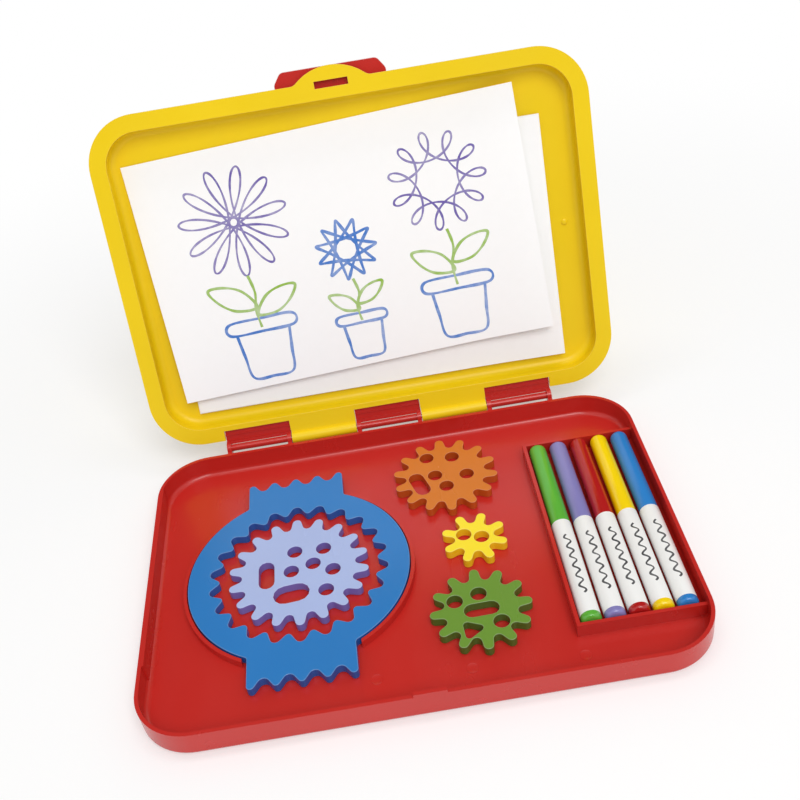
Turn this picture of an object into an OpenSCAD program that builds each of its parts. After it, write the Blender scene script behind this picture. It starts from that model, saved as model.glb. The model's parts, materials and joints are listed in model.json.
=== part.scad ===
// Gear drawing toy in a folding case, lid open.
// Millimetres. The origin is the middle of the tray's underside, +X is right, +Y is the hinge side, +Z is up.

/* [Case tray] */
// Width of the case
case_w = 320; // [300:1:360]
// Depth of the case without its hinge
case_d = 224; // [216:1:250]
// Corner radius of the case in plan
corner_r = 33; // [26:1:40]
// Height of the tray
tray_h = 17; // [16:0.5:22]
// Thickness of the tray's walls
tray_wall = 2.2; // [1.6:0.1:3]
// Thickness of the tray's floor
floor_t = 3; // [2:0.1:4]
// Rounding of the tray's bottom edge
bottom_round = 3; // [1:0.1:3]
// Fillet between the tray's floor and walls
floor_fillet = 3.5; // [2:0.1:4]
// Thickness of the ribs that stand on the floor
rib_t = 2.2; // [1.6:0.1:3]
// Height of the lips beside the ring
rib_h = 5.2; // [3:0.1:7]
// Height of the ribs round the pen well
well_h = 9.2; // [4:0.1:11]
// Gap between a loose piece and the floor that it lies on
seat_gap = 0.1; // [0.05:0.01:0.3]
// Thickness of the thicker stretch of the left wall
wall_pad_t = 1; // [0.5:0.1:2]
// Length of the thicker stretch of the left wall
wall_pad_l = 148; // [100:1:150]
// Width of the raised panel behind the catch
panel_w = 73; // [60:1:90]
// Depth of the raised panel behind the catch
panel_d = 26; // [20:0.5:26.5]
// Height of the raised panel behind the catch
panel_rise = 0.5; // [0.3:0.1:1]

/* [Lid] */
// Angle that the lid stands open
open_angle = 108.3; // [95:0.1:120]
// Width of the lid's flat rim
flange_w = 10.6; // [9:0.1:13]
// Thickness of the lid's flat rim
flange_t = 2.5; // [2:0.1:3]
// Thickness of the lid's wall and top
lid_wall = 2; // [1.5:0.1:3]
// Depth of the lid's recess, from rim to inner face
lid_depth = 12; // [10:0.5:20]
// Rounding of the lid's top edge, outside
dome_round = 7.5; // [4:0.1:8]
// Gap between the tray's rim and the lid's rim when shut
rim_gap = 0.2; // [0.1:0.05:0.4]
// How far the lifting tab stands out in front of the lid
tab_reach = 9.4; // [6:0.1:14]
// Radius of the lifting tab
tab_r = 34; // [28:1:45]
// Radius of the flares where the tab leaves the rim
tab_flare_r = 6; // [2:0.1:10]

/* [Hinge] */
// Distance from the case's rear face to the hinge axis
hinge_offset = 5.8; // [5.4:0.1:8]
// Width of one hinge knuckle
knuckle_w = 45.6; // [38:0.1:50]
// Radius of a hinge knuckle
knuckle_r = 4; // [3.5:0.1:5]
// Radius of the bar between a bracket's cheeks
bar_r = 2.4; // [2.1:0.1:2.4]
// Diameter of the steel hinge pin
pin_d = 3; // [2:0.1:4]
// Radial play between pin and knuckle
pin_play = 0.05; // [0.02:0.01:0.1]
// Gap between two knuckles
knuckle_gap = 0.4; // [0.2:0.05:0.8]
// Depth of the notches in the lid's rear rim
notch_d = 7; // [6.5:0.1:8]
// Thickness of the plate that stops the open lid
stop_t = 2.2; // [1.5:0.1:3]

/* [Latch] */
// Width of the latch plate at the lid's edge
latch_w = 71; // [64:1:85]
// How much narrower the latch plate is at its free end
latch_taper = 6; // [0:1:12]
// How far the latch plate stands out in front of the lid
latch_reach = 9.2; // [6:0.1:14]
// Thickness of the latch plate
latch_t = 2.2; // [1.6:0.1:3]
// Diameter of the latch's steel pin
latch_pin_d = 2; // [1.5:0.1:2.4]
// Width of the tongue on the tray's front wall
tongue_w = 18.3; // [14:0.1:22]
// How far the tongue stands over the tray's rim
tongue_rise = 2; // [1:0.1:2.4]

/* [Ring frame] */
// Tooth pitch divided by pi, for the ring, its racks and all wheels
gear_module = 4.615; // [4.4:0.005:4.75]
// Thickness of the ring frame and of the wheels
wheel_t = 6; // [4:0.1:8]
// Number of teeth inside the ring
ring_teeth = 22; // [22:1:24]
// Width of solid ring outside the tooth pockets
ring_band = 13.1; // [9:0.1:16]
// How far the ring's tooth pockets reach past the pitch circle
ring_pocket = 4.6; // [3.5:0.1:5]
// How far the ring's teeth reach inside the pitch circle
ring_tip = 1.8; // [0.8:0.1:2]
// How far the racks stand out past the round of the ring
rack_reach = 14.6; // [13:0.1:18]
// Height of a rack tooth
rack_tooth_h = 6.1; // [5:0.1:7]
// Rounding of a rack's tooth tips
rack_tip_round = 2.4; // [2:0.1:2.8]
// Fillet between a rack's sides and the round of the ring
rack_fillet = 2.5; // [1:0.1:4]
// Number of valleys in a rack
rack_valleys = 4; // [3:1:5]
// Gap between ring and case wall
ring_wall_gap = 20.8; // [14:0.1:26]
// Gap between the ring and the lip round it
lip_gap = 0.8; // [0.5:0.1:1.5]
// Gap between the lip's ends and the racks
lip_end_gap = 3; // [1:0.1:6]

/* [Wheels] */
// Teeth of the large wheel inside the ring
large_teeth = 18; // [16:1:18]
// Teeth of the medium wheel at the rear
medium_teeth = 14; // [12:1:15]
// Teeth of the small wheel
small_teeth = 8; // [8:1:9]
// Teeth of the wheel at the front
front_teeth = 12; // [11:1:13]
// How far a wheel's teeth reach past its pitch circle
wheel_tip = 2; // [1.4:0.1:2.4]
// Depth of a wheel's teeth
wheel_tooth_h = 8.4; // [7:0.1:9]
// Rounding of a wheel's tooth tips
tip_round = 2.9; // [2.4:0.1:3.1]
// Rounding of the valleys between a wheel's teeth
valley_round = 2.9; // [2.4:0.1:3.1]
// Diameter of a pen hole
pen_hole_d = 9.4; // [8.5:0.1:10]
// Gap between the medium and front wheels and the pen well
column_gap = 19.6; // [12:0.1:24]
// Gap between the medium wheel and the rear wall
medium_rear_gap = 11.6; // [6:0.1:14]
// Gap between the front wheel and the front wall
front_wall_gap = 27; // [26.8:0.1:34]
// Shift of the small wheel to the left of its column
small_shift = 4.1; // [0:0.1:6]

/* [Markers] */
// Length of a marker with its cap on
marker_l = 149.8; // [140:0.1:160]
// Outer diameter of a marker
marker_d = 12.1; // [11:0.1:13]
// Distance from one marker's middle to the next
marker_pitch = 13.6; // [13.3:0.1:15]
// Gap between the last marker and the case wall
marker_wall_gap = 3.3; // [2:0.1:6]
// Gap between a marker's end and the rib of the pen well
marker_end_gap = 0.8; // [0.5:0.1:2]
// Offset of the markers' middle to the rear
marker_shift = -2.1; // [-4:0.1:4]
// Length of a marker's cap
cap_l = 73; // [60:0.1:80]
// Diameter of the cap at its mouth
cap_d = 11.8; // [11:0.1:12.1]
// Diameter of the cap near its closed end
cap_end_d = 11.3; // [10.6:0.1:12]
// Length of a marker's end plug that shows
plug_l = 4.4; // [3:0.1:12]
// Rounding of the cap's closed end
cap_round = 4; // [2:0.1:5]
// Wall of a marker's barrel
barrel_wall = 1.4; // [1:0.1:1.8]
// Diameter of a marker's nose inside the cap
nose_d = 9; // [8.6:0.1:9.2]
// Diameter of a marker's nib
nib_d = 4; // [3:0.1:5]
// Radial gap between the pieces of a marker
marker_fit = 0.05; // [0.02:0.01:0.2]

/* [Paper] */
// Width of a sheet of paper
sheet_w = 256; // [220:1:270]
// Depth of a sheet of paper
sheet_d = 162; // [140:1:170]
// Thickness of the drawing sheet
sheet_t = 0.3; // [0.2:0.05:0.6]
// Thickness of the spare sheets under it
spare_t = 0.6; // [0.4:0.05:2]
// Turn of the drawing sheet on the spare sheets
sheet_turn = 2.9; // [0:0.1:5]
// Gap between the drawing sheet's left corner and the edge of the recess's flat
sheet_left_gap = 1.066; // [0:0.001:10]
// Gap between the drawing sheet's front corner and the edge of the recess's flat
sheet_front_gap = 3.028; // [0:0.001:8]
// Gap between the spare sheets and the rear edge of the recess's flat
spare_rear_gap = 4.1; // [0:0.1:15]

/* [Hidden] */
$fn = 64;
ARC_STEPS = 6;
TAB_STEPS = 24;
CUT = 1;
// Width of the slanting flank between a rack's tip and its valley
RACK_FLANK = 1.4;
// How far a fillet's arc runs into the round that it meets
FILLET_BITE = 0.05;
MARKERS = ["green", "lavender", "red", "yellow", "blue"];
MARKER_COLOURS = ["#5fb43c", "#8782be", "#b41919", "#fad700", "#2d82cd"];
TRAY_RED = "#be2826";
LID_YELLOW = "#f5d70f";
RING_BLUE = "#2d78be";
STEEL = "#b4b6b8";
PAPER_WHITE = "#fafafa";

// Case, worked out from its outside
inner_w = case_w - 2 * tray_wall;
inner_d = case_d - 2 * tray_wall;
rim_z = tray_h + rim_gap;
flange_z = rim_z + flange_t;
hinge_y = case_d / 2 + hinge_offset;
dome_w = case_w - 2 * flange_w + 2 * lid_wall;
dome_d = case_d - 2 * flange_w + 2 * lid_wall;
dome_r = corner_r - flange_w + lid_wall;
recess_round = dome_round - lid_wall;

// Ring frame, worked out from its teeth
ring_pitch_r = gear_module * ring_teeth / 2;
ring_root_r = ring_pitch_r + ring_pocket;
ring_r = ring_root_r + ring_band;
ring_x = -(inner_w / 2 - ring_wall_gap - ring_r);
tooth_pitch = PI * gear_module;
rack_half = rack_valleys * tooth_pitch / 2 + rack_tip_round;
rack_y = ring_r + rack_reach;
wheel_z = floor_t + seat_gap;
lip_r = ring_r + lip_gap;

// Markers and the pen well, worked out from the right wall
last_marker_x = inner_w / 2 - marker_wall_gap - marker_d / 2;
first_marker_x = last_marker_x - (len(MARKERS) - 1) * marker_pitch;
marker_z = floor_t + seat_gap + marker_d / 2;
well_x = first_marker_x - marker_d / 2 - marker_end_gap;
well_front = marker_shift - marker_l / 2 - marker_end_gap;
well_rear = marker_shift + marker_l / 2 + marker_end_gap;
barrel_bore = marker_d - 2 * barrel_wall;

// Wheels, worked out from the walls and the pen well
medium_r = wheel_tip_r(medium_teeth);
front_r = wheel_tip_r(front_teeth);
small_r = wheel_tip_r(small_teeth);
medium_x = well_x - rib_t - column_gap - medium_r;
medium_y = inner_d / 2 - medium_rear_gap - medium_r;
front_x = well_x - rib_t - column_gap - front_r;
front_y = -inner_d / 2 + front_wall_gap + front_r;
small_x = well_x - rib_t - column_gap - small_r - small_shift;
small_y = (medium_y - medium_r + front_y + front_r) / 2;

// Latch, worked out from the lid's front
latch_barrel_wall = 1.4;
latch_dome_gap = 0.4;
latch_rim_gap = 0.3;
latch_barrel_r = latch_pin_d / 2 + latch_barrel_wall;
latch_y = -(dome_d / 2 + latch_barrel_r + latch_dome_gap);
latch_z = flange_z + latch_barrel_r + latch_rim_gap;
lug_inset = 10;
lug_x = latch_w / 2 - lug_inset;
lug_w = 4;
lug_gap = 0.4;
slot_play = 1.5;

// Paper in the lid, on the flat of its recess, where a sheet without room for its gap lies in the middle
sheet_z = rim_z + lid_depth - seat_gap;
flat_w = dome_w - 2 * lid_wall - 2 * recess_round;
flat_d = dome_d - 2 * lid_wall - 2 * recess_round;
turned_w = sheet_w * cos(sheet_turn) + sheet_d * sin(sheet_turn);
turned_d = sheet_d * cos(sheet_turn) + sheet_w * sin(sheet_turn);
sheet_x = -max(0, (flat_w - turned_w) / 2 - sheet_left_gap);
sheet_y = -max(0, (flat_d - turned_d) / 2 - sheet_front_gap);
spare_y = max(0, (flat_d - sheet_d) / 2 - spare_rear_gap);

function wheel_tip_r(teeth) = gear_module * teeth / 2 + wheel_tip;
function polar(r, a) = r * [cos(a), sin(a)];
function arc(centre, r, a0, a1) =
    [for (i = [0:ARC_STEPS]) centre + polar(r, a0 + (a1 - a0) * i / ARC_STEPS)];
function bearing(a, b) = atan2(b[1] - a[1], b[0] - a[0]);

// Angle of the flank between a tip's circle and the next valley's circle
function flank_normal(tip, valley, tip_rad, valley_rad) =
    bearing(tip, valley) - acos((tip_rad + valley_rad) / norm(valley - tip));

// Outline of a wheel with round tips and round valleys, one tooth on +X
function wheel_outline(teeth, tip_r, root_r, tip_rad, valley_rad) =
    let (half = 180 / teeth)
    let (tip = [tip_r - tip_rad, 0])
    let (valley = polar(root_r + valley_rad, half))
    let (n = flank_normal(tip, valley, tip_rad, valley_rad))
    [for (k = [0:teeth - 1], p = concat(
        arc(tip, tip_rad, -n, n),
        arc(valley, valley_rad, n + 180, 2 * half - n + 180)
    )) [p[0] * cos(2 * half * k) - p[1] * sin(2 * half * k),
        p[0] * sin(2 * half * k) + p[1] * cos(2 * half * k)]];

// Outline with round corners about a counterclockwise list of centres
function round_outline(c, r) = [
    for (i = [0:len(c) - 1])
    let (before = c[(i + len(c) - 1) % len(c)], after = c[(i + 1) % len(c)])
    let (a0 = bearing(before, c[i]) - 90, a1 = bearing(c[i], after) - 90)
    each arc(c[i], r, a0, a1 < a0 ? a1 + 360 : a1)
];

// Rounded rectangle whose lower edge is rounded, standing on z = 0
module slab(w, d, r, h, edge) {
    module side() {
        square([r - edge, h]);
        translate([0, edge])
            square([r, h - edge]);
        translate([r - edge, edge])
            circle(edge);
    }
    translate([-w / 2 + r, -d / 2 + r, 0])
        cube([w - 2 * r, d - 2 * r, h]);
    for (i = [0:3]) {
        along = i % 2 == 0 ? w : d;
        across = i % 2 == 0 ? d : w;
        rotate([0, 0, 90 * i]) {
            translate([-along / 2 + r, -across / 2 + r, 0])
                rotate([90, 0, 90])
                    mirror([1, 0, 0])
                        linear_extrude(along - 2 * r)
                            side();
            translate([along / 2 - r, -across / 2 + r, 0])
                rotate([0, 0, -90])
                    rotate_extrude(angle = 90)
                        side();
        }
    }
}

// Flat rounded rectangle
module plate(w, d, r, h) {
    x = w / 2 - r;
    y = d / 2 - r;
    for (sx = [-1, 1], sy = [-1, 1])
        translate([sx * x, sy * y, 0])
            cylinder(r = r, h = h);
    translate([-w / 2, -y, 0])
        cube([w, 2 * y, h]);
    translate([-x, -d / 2, 0])
        cube([2 * x, d, h]);
}

// Box from its low and high corners
module span(low, high) {
    translate(low)
        cube(high - low);
}

// Rod along X about the point y, z
module rod(x0, x1, y, z, r) {
    translate([x0, y, z])
        rotate([0, 90, 0])
            cylinder(r = r, h = x1 - x0);
}

// Carries a piece of the shut lid to where the open lid has it
module opened() {
    translate([0, hinge_y, tray_h])
        rotate([-open_angle, 0, 0])
            translate([0, -hinge_y, -tray_h])
                children();
}

// Hinge zones, counted from the left
function zone_x(i) = (i - 2.5) * knuckle_w;

// Bracket of the tray in one hinge zone: two cheeks, a bar round the pin and the open lid's stop plate
module hinge_bracket(i) {
    x0 = zone_x(i) + knuckle_gap / 2;
    x1 = zone_x(i + 1) - knuckle_gap / 2;
    cheek = 3;
    cheek_foot = 8.8;
    dome_gap = 1;
    stop_z = flange_z + seat_gap;
    stop_low = 2.5;
    web_end = 0.7;
    web_in = 0.3;
    stop_high = hinge_offset + flange_w - lid_wall - dome_gap;
    lip_h = 2;
    ridge_y = hinge_y - hinge_offset - notch_d / 2;
    ridge = 0.8;
    opened() {
        span([x0, hinge_y - stop_high, stop_z], [x1, hinge_y - stop_low, stop_z + stop_t]);
        span([x0, hinge_y - stop_low - lip_h, stop_z - lip_h], [x1, hinge_y - stop_low, stop_z + CUT]);
        span([x0, ridge_y, stop_z - ridge], [x1, ridge_y + ridge, stop_z + CUT]);
    }
    rod(x0 + CUT, x1 - CUT, hinge_y, tray_h, bar_r);
    for (x = [x0, x1 - cheek]) {
        rod(x, x + cheek, hinge_y, tray_h, knuckle_r);
        span([x, case_d / 2 - tray_wall / 2, tray_h - cheek_foot], [x + cheek, hinge_y, tray_h]);
        opened()
            span([x + web_in, hinge_y - stop_low - CUT, tray_h + web_end],
                [x + cheek - web_in, hinge_y - web_end, stop_z + stop_t - web_in]);
    }
}

// Lips beside the ring that stop at its racks
module ring_lips() {
    translate([ring_x, 0, floor_t - CUT])
        difference() {
            cylinder(r = lip_r + rib_t, h = rib_h + CUT);
            translate([0, 0, -CUT])
                cylinder(r = lip_r, h = rib_h + 3 * CUT);
            span([-rack_half - lip_end_gap, -rack_y, -CUT],
                [rack_half + lip_end_gap, rack_y, rib_h + 2 * CUT]);
        }
}

// Ribs round three sides of the markers
module pen_well() {
    z0 = floor_t - CUT;
    z1 = floor_t + well_h;
    wall_x = inner_w / 2 + tray_wall / 2;
    span([well_x - rib_t, well_front - rib_t, z0], [well_x, well_rear + rib_t, z1]);
    span([well_x - rib_t, well_front - rib_t, z0], [wall_x, well_front, z1]);
    span([well_x - rib_t, well_rear, z0], [wall_x, well_rear + rib_t, z1]);
}

// Thicker stretch of the left wall, with a step at each end
module wall_pad() {
    pad_shift = 13;
    y0 = pad_shift - wall_pad_l / 2;
    span([-inner_w / 2 - tray_wall / 2, y0, floor_t - CUT],
        [-inner_w / 2 + wall_pad_t, y0 + wall_pad_l, tray_h]);
}

// Panel behind the catch and a slim rib on the front wall at each side of it
module front_mouldings() {
    y0 = -inner_d / 2 - tray_wall / 2;
    slim = 1.6;
    left_in = corner_r + 9;
    right_in = corner_r + 15;
    span([-panel_w / 2, y0, floor_t - CUT], [panel_w / 2, -inner_d / 2 + panel_d, floor_t + panel_rise]);
    for (x = [-case_w / 2 + left_in, case_w / 2 - right_in])
        span([x - slim / 2, y0, floor_t - CUT], [x + slim / 2, -inner_d / 2 + slim, tray_h - slim]);
}

// Tongue on the front wall that enters the slot of the lid's tab
module catch_tongue() {
    y0 = -case_d / 2;
    span([-tongue_w / 2, y0, tray_h - CUT], [tongue_w / 2, y0 + tray_wall, tray_h + tongue_rise]);
}

module base_tray() {
    color(TRAY_RED)
        difference() {
            union() {
                difference() {
                    slab(case_w, case_d, corner_r, tray_h, bottom_round);
                    translate([0, 0, floor_t])
                        slab(inner_w, inner_d, corner_r - tray_wall, tray_h, floor_fillet);
                }
                catch_tongue();
                ring_lips();
                pen_well();
                wall_pad();
                front_mouldings();
                for (i = [0, 2, 4])
                    hinge_bracket(i);
            }
            rod(-case_w / 2, case_w / 2, hinge_y, tray_h, pin_d / 2 + pin_play);
        }
}

module hinge_pin() {
    reach = -zone_x(0) - knuckle_gap / 2;
    color(STEEL)
        rod(-reach, reach, hinge_y, tray_h, pin_d / 2);
}

// Lifting tab, led into the rim's front edge by a flare at each side
module lifting_tab() {
    edge_y = -case_d / 2;
    tab_y = edge_y - tab_reach + tab_r;
    flare_y = edge_y - tab_flare_r;
    flare_x = sqrt(pow(tab_r + tab_flare_r, 2) - pow(tab_y - flare_y, 2));
    lean = atan2(tab_y - flare_y, flare_x);
    linear_extrude(flange_t)
        polygon(concat(
            arc([-flare_x, flare_y], tab_flare_r, 90, lean),
            [for (i = [1:TAB_STEPS - 1])
                [0, tab_y] + polar(tab_r, 180 + lean + (180 - 2 * lean) * i / TAB_STEPS)],
            arc([flare_x, flare_y], tab_flare_r, 180 - lean, 90),
            [[flare_x, edge_y + flange_w / 2], [-flare_x, edge_y + flange_w / 2]]
        ));
}

// Rim of the lid with its lifting tab, rear notches and tab slot
module lid_rim() {
    translate([0, 0, rim_z])
        difference() {
            union() {
                plate(case_w, case_d, corner_r, flange_t);
                lifting_tab();
            }
            for (i = [0, 2, 4])
                span([zone_x(i), case_d / 2 - notch_d, -CUT],
                    [zone_x(i + 1), case_d / 2 + CUT, flange_t + CUT]);
            span([-tongue_w / 2 - slot_play, -case_d / 2 - slot_play / 2, -CUT],
                [tongue_w / 2 + slot_play, -case_d / 2 + tray_wall + slot_play, flange_t + CUT]);
        }
}

// Knuckles of the lid in the two hinge zones between the brackets
module lid_knuckles() {
    for (i = [1, 3]) {
        x0 = zone_x(i) + knuckle_gap / 2;
        x1 = zone_x(i + 1) - knuckle_gap / 2;
        rod(x0, x1, hinge_y, tray_h, knuckle_r);
        span([x0, case_d / 2 - CUT, rim_z], [x1, hinge_y, flange_z]);
    }
}

// Lugs on the lid's front rim that carry the latch
module latch_lugs() {
    for (s = [-1, 1]) {
        x0 = s * lug_x - lug_w / 2;
        rod(x0, x0 + lug_w, latch_y, latch_z, latch_barrel_r);
        span([x0, latch_y - latch_barrel_r, flange_z - CUT], [x0 + lug_w, latch_y + latch_barrel_r, latch_z]);
    }
}

module lid() {
    color(LID_YELLOW)
        opened()
            difference() {
                union() {
                    lid_rim();
                    translate([0, 0, rim_z + lid_depth + lid_wall])
                        mirror([0, 0, 1])
                            slab(dome_w, dome_d, dome_r, lid_depth + lid_wall, dome_round);
                    lid_knuckles();
                    latch_lugs();
                }
                translate([0, 0, rim_z + lid_depth])
                    mirror([0, 0, 1])
                        slab(dome_w - 2 * lid_wall, dome_d - 2 * lid_wall, dome_r - lid_wall,
                            lid_depth + CUT, recess_round);
                rod(-case_w / 2, case_w / 2, hinge_y, tray_h, pin_d / 2 + pin_play);
                rod(-case_w / 2, case_w / 2, latch_y, latch_z, latch_pin_d / 2 + pin_play);
            }
}

module front_latch() {
    round = 4;
    end_y = -case_d / 2 - latch_reach;
    near_y = latch_y - latch_barrel_r - lug_gap;
    far = [latch_w / 2 - latch_taper / 2 - round, end_y + round];
    near = [latch_w / 2 - round, near_y - round];
    barrel_x = lug_x - lug_w / 2 - lug_gap;
    color(TRAY_RED)
        opened()
            difference() {
                union() {
                    translate([0, 0, latch_z - latch_t / 2])
                        linear_extrude(latch_t)
                            polygon(round_outline(
                                [[-far[0], far[1]], far, near, [-near[0], near[1]]], round));
                    rod(-barrel_x, barrel_x, latch_y, latch_z, latch_barrel_r);
                    span([-barrel_x, near_y - CUT, latch_z - latch_t / 2],
                        [barrel_x, latch_y, latch_z + latch_t / 2]);
                }
                rod(-case_w / 2, case_w / 2, latch_y, latch_z, latch_pin_d / 2 + pin_play);
            }
}

module latch_pin() {
    reach = lug_x + lug_w / 2;
    color(STEEL)
        opened()
            rod(-reach, reach, latch_y, latch_z, latch_pin_d / 2);
}

// Rack with a fillet at each side of its root, round tips at both ends and round valleys between
function rack_outline() =
    let (tip_y = rack_y - rack_tip_round, valley_rad = tooth_pitch / 2 - rack_tip_round - RACK_FLANK)
    let (valley = [-tooth_pitch / 2, rack_y - rack_tooth_h + valley_rad])
    let (next = [tooth_pitch / 2, 2 * tip_y - valley[1]])
    let (n = 180 + flank_normal([0, tip_y], next, rack_tip_round, valley_rad))
    let (x = rack_half + rack_fillet, y = sqrt(pow(ring_r + rack_fillet - FILLET_BITE, 2) - pow(x, 2)))
    let (root = 180 + bearing([0, 0], [x, y]), root_x = x + rack_fillet * cos(root))
    concat(
        [[-root_x, 0], [root_x, 0]],
        arc([x, y], rack_fillet, root, 180),
        [for (i = [0:rack_valleys])
            let (x = (rack_valleys / 2 - i) * tooth_pitch, last = i == rack_valleys)
            each concat(
                arc([x, tip_y], rack_tip_round, i == 0 ? 0 : 180 - n, last ? 180 : n),
                last ? [] : arc([x, 0] + valley, valley_rad, n - 180, -n)
            )],
        arc([-x, y], rack_fillet, 0, 180 - root)
    );

module ring_frame() {
    pocket_round = 3.2;
    tooth_round = 2.4;
    color(RING_BLUE)
        translate([ring_x, 0, wheel_z])
            linear_extrude(wheel_t)
                difference() {
                    union() {
                        circle(ring_r, $fn = 128);
                        for (a = [0, 180])
                            rotate(a)
                                polygon(rack_outline());
                    }
                    rotate(90)
                        polygon(wheel_outline(ring_teeth, ring_root_r, ring_pitch_r - ring_tip,
                            pocket_round, tooth_round));
                }
}

// Toothed wheel without its holes, a tooth or a valley at the rear
module wheel_blank(teeth, turn = 0) {
    tip_r = wheel_tip_r(teeth);
    rotate(90 + turn)
        polygon(wheel_outline(teeth, tip_r, tip_r - wheel_tooth_h, tip_round, valley_round));
}

module pen_holes(places) {
    for (p = places)
        translate(p)
            circle(pen_hole_d / 2);
}

// Slot with round ends between two points
module slot(a, b, w) {
    polygon(round_outline([a, b], w / 2));
}

module large_wheel() {
    color("#a5b4e1")
        translate([ring_x, 0, wheel_z])
            linear_extrude(wheel_t)
                difference() {
                    wheel_blank(large_teeth);
                    pen_holes([[-2, 15.6], [16.1, 14.8], [9.1, 3.5]]);
                    pen_holes([[-4.5, -0.3], [21.1, -3.8], [16.2, -19.4]]);
                    slot([-19.8, -6.4], [-19.8, 5.6], 9.7);
                    slot([-8.9, -18.4], [-0.7, -17.8], 13.8);
                }
}

module medium_wheel() {
    color("#cd7828")
        translate([medium_x, medium_y, wheel_z])
            linear_extrude(wheel_t)
                difference() {
                    wheel_blank(medium_teeth);
                    pen_holes([[-10.3, 18.1], [6.6, 15.6], [-6.8, 0], [13.8, -3.2], [-0.7, -11.6]]);
                    slot([-19.5, -0.5], [-16.1, -11.6], 10);
                }
}

module small_wheel() {
    color("#f5dc28")
        translate([small_x, small_y, wheel_z])
            linear_extrude(wheel_t)
                difference() {
                    wheel_blank(small_teeth, 180 / small_teeth);
                    pen_holes([[-6.2, 3.2], [4.3, -0.8]]);
                }
}

module front_wheel() {
    color("#6e9b37")
        translate([front_x, front_y, wheel_z])
            linear_extrude(wheel_t)
                difference() {
                    wheel_blank(front_teeth);
                    pen_holes([[-14.2, 7.6], [0.2, 10.7], [9.9, -11.7]]);
                    slot([-5.3, -1], [5.8, -0.8], 9.5);
                    polygon(round_outline([[-9.7, -10.8], [-9.4, -18], [-3.2, -13.9]], 2.2));
                }
}

module drawing_sheet() {
    color(PAPER_WHITE)
        opened()
            translate([sheet_x, sheet_y, sheet_z - spare_t - seat_gap - sheet_t])
                rotate([0, 0, -sheet_turn])
                    translate([-sheet_w / 2, -sheet_d / 2, 0])
                        cube([sheet_w, sheet_d, sheet_t]);
}

module spare_sheets() {
    color(PAPER_WHITE)
        opened()
            translate([-sheet_w / 2, spare_y - sheet_d / 2, sheet_z - spare_t])
                cube([sheet_w, sheet_d, spare_t]);
}

// Places along a marker from its plug end
plug_inside = 6;
shoulder = marker_l - cap_l;
nose_l = 16;
cone_l = 10;
cone_wall = 1.2;
cone_tip_d = nib_d + 2 * cone_wall;
nib_out = 6;
nib_in = 10;
nib_flat = 0.4;
cap_solid = 14;
cap_depth = cap_l - cap_solid;
wick_gap = 2;
wick_l = shoulder + nose_l - plug_l - plug_inside - wick_gap;

// Turns a profile of radius against length into a piece of marker number i
module marker_piece(i) {
    x = first_marker_x + i * marker_pitch;
    translate([x, marker_shift - marker_l / 2, marker_z])
        rotate([-90, 0, 0])
            rotate_extrude()
                children();
}

// Half outline of a rod from a to b, with its far end rounded
module half_rod(r, a, b, round) {
    translate([0, a])
        square([r, b - a - round]);
    translate([0, a])
        square([r - round, b - a]);
    intersection() {
        translate([r - round, b - round])
            circle(round);
        translate([0, a])
            square([r, b - a]);
    }
}

module marker_cap(i) {
    round_start = marker_l - cap_round;
    color(MARKER_COLOURS[i])
        marker_piece(i)
            difference() {
                union() {
                    polygon([[0, shoulder], [cap_d / 2, shoulder],
                        [cap_end_d / 2, round_start], [0, round_start]]);
                    half_rod(cap_end_d / 2, round_start - CUT, marker_l, cap_round);
                }
                translate([0, shoulder - CUT])
                    square([nose_d / 2 + marker_fit, cap_depth + CUT]);
            }
}

module marker_barrel(i) {
    cone_start = shoulder + nose_l;
    color(PAPER_WHITE)
        marker_piece(i)
            difference() {
                union() {
                    translate([0, plug_l])
                        square([marker_d / 2, shoulder - plug_l]);
                    translate([0, shoulder - CUT])
                        square([nose_d / 2, nose_l + CUT]);
                    polygon([[0, cone_start], [nose_d / 2, cone_start],
                        [cone_tip_d / 2, cone_start + cone_l], [0, cone_start + cone_l]]);
                }
                translate([0, plug_l - CUT])
                    square([nose_d / 2 - barrel_wall / 2, shoulder + nose_l - plug_l + CUT]);
                translate([0, plug_l - CUT])
                    square([barrel_bore / 2, shoulder - plug_l - 2 * CUT]);
                square([nib_d / 2 + marker_fit, marker_l]);
            }
}

module marker_nib(i) {
    tip = shoulder + nose_l + cone_l;
    color(MARKER_COLOURS[i])
        marker_piece(i)
            half_rod(nib_d / 2, tip - nib_in, tip + nib_out, nib_d / 2 - nib_flat);
}

module marker_wick(i) {
    color(MARKER_COLOURS[i])
        marker_piece(i)
            translate([0, plug_l + plug_inside + marker_fit])
                square([nose_d / 2 - barrel_wall / 2 - 2 * marker_fit, wick_l]);
}

module marker_plug(i) {
    round = 2;
    color(MARKER_COLOURS[i])
        marker_piece(i)
            union() {
                translate([0, plug_l])
                    mirror([0, 1])
                        half_rod(marker_d / 2, 0, plug_l, round);
                translate([0, plug_l - CUT])
                    square([barrel_bore / 2 - marker_fit, plug_inside + CUT]);
            }
}

base_tray();
hinge_pin();
lid();
front_latch();
latch_pin();
ring_frame();
large_wheel();
medium_wheel();
small_wheel();
front_wheel();
spare_sheets();
drawing_sheet();
for (i = [0:len(MARKERS) - 1]) {
    marker_cap(i);
    marker_barrel(i);
    marker_nib(i);
    marker_wick(i);
    marker_plug(i);
}
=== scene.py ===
"""Dresses the gear drawing toy: moulded case, toothed ring and wheels, felt markers and paper."""
import json
import math

import bmesh
import bpy
from bpy.props import FloatProperty, FloatVectorProperty, IntProperty, PointerProperty
from mathutils import Euler, Matrix, Vector
from mathutils.bvhtree import BVHTree


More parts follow.
